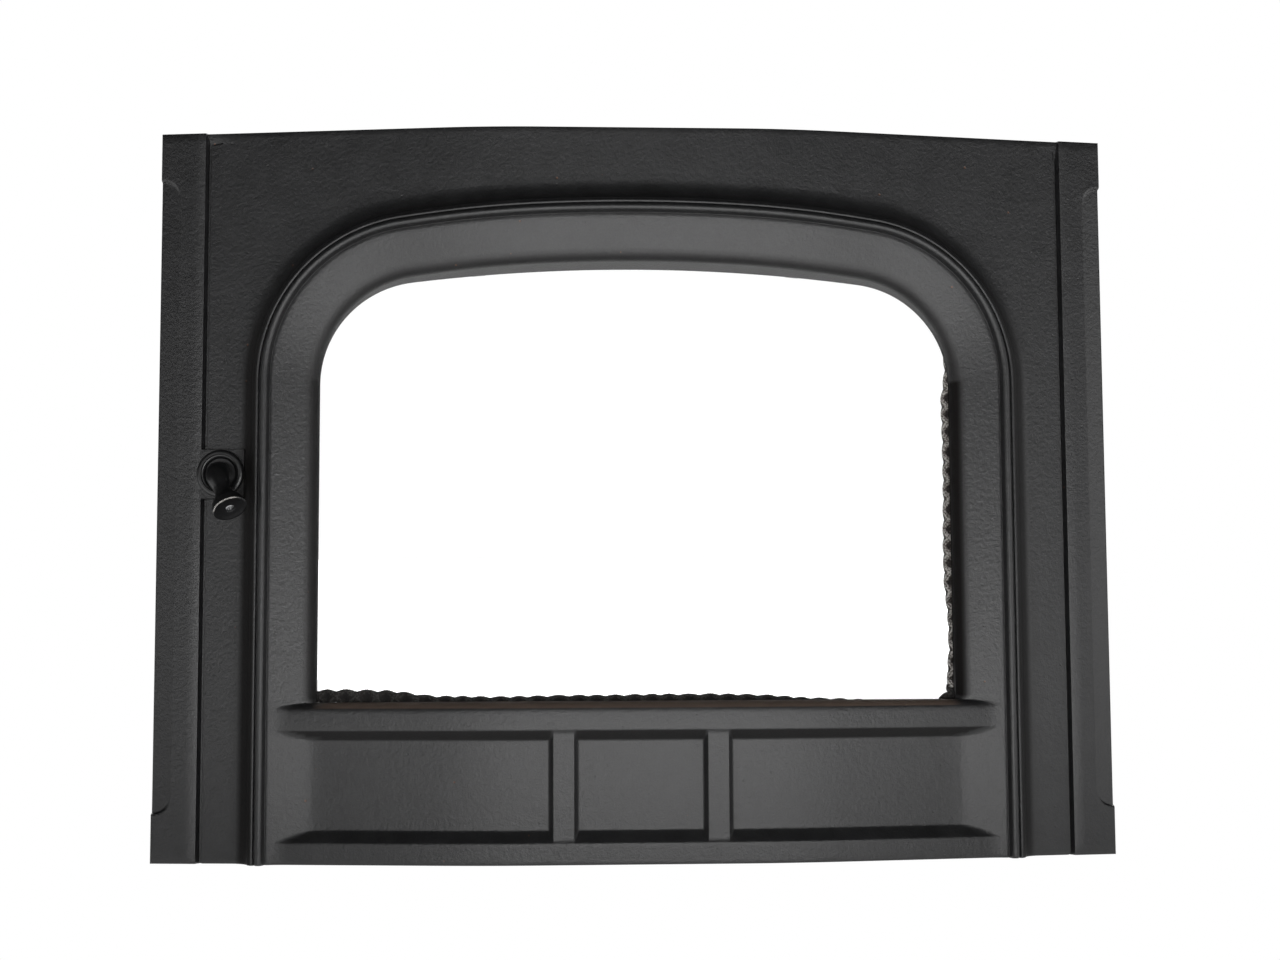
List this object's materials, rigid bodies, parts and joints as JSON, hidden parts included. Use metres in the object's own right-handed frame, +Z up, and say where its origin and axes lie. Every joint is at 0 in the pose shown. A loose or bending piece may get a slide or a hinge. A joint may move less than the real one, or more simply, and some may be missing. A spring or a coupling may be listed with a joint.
{
  "type": "stove door",
  "caption": "Bowed cast-iron stove door with an arched glazed window, beaded moulding, panelled apron, side pilasters, a turning horn handle, rope seals and lift-off hinge pins.",
  "frame": {"origin": "centre of the lower hinge pin at its shoulder, where the lug's underside rests on the stove's eye", "axes": "+X to the right as seen from the front, +Y back into the stove, +Z up; the door's front faces -Y"},
  "size_m": [0.705, 0.0902, 0.535],
  "materials": {
    "iron": "matt charcoal stove paint over a fine sand-cast skin, worn a little along the beads",
    "glass": "clear flat ceramic glass, polished",
    "rope": "braided glass-fibre rope, grey, sooty and frayed",
    "horn_black": "satin black, worn bright on the rim of the horn's end",
    "steel": "plain bright steel"
  },
  "bodies": {
    "door": {"door_casting": "iron", "glass_pane": "glass", "glass_gasket": "rope", "door_gasket": "rope", "handle_escutcheon": "horn_black", "hinge_pin_lower": "steel", "hinge_pin_upper": "steel", "glass_clip_top_left": "steel", "clip_screw_top_left": "steel", "glass_clip_side_left": "steel", "clip_screw_side_left": "steel", "glass_clip_foot_left": "steel", "clip_screw_foot_left": "steel", "glass_clip_top_right": "steel", "clip_screw_top_right": "steel", "glass_clip_side_right": "steel", "clip_screw_side_right": "steel", "glass_clip_foot_right": "steel", "clip_screw_foot_right": "steel"},
    "handle": {"handle_knob": "horn_black", "knob_screw": "steel", "handle_spindle": "steel", "latch_washer": "steel", "latch_cam": "steel", "spring_washer": "steel", "latch_nut": "steel"}
  },
  "joints": [
    {"name": "handle_turn", "type": "hinge", "parent": "door", "child": "handle", "pos_m": [-0.6314, -0.03446, 0.203], "axis": [0.1447, 0.9895, 0], "range_deg": [0, 90]}
  ]
}
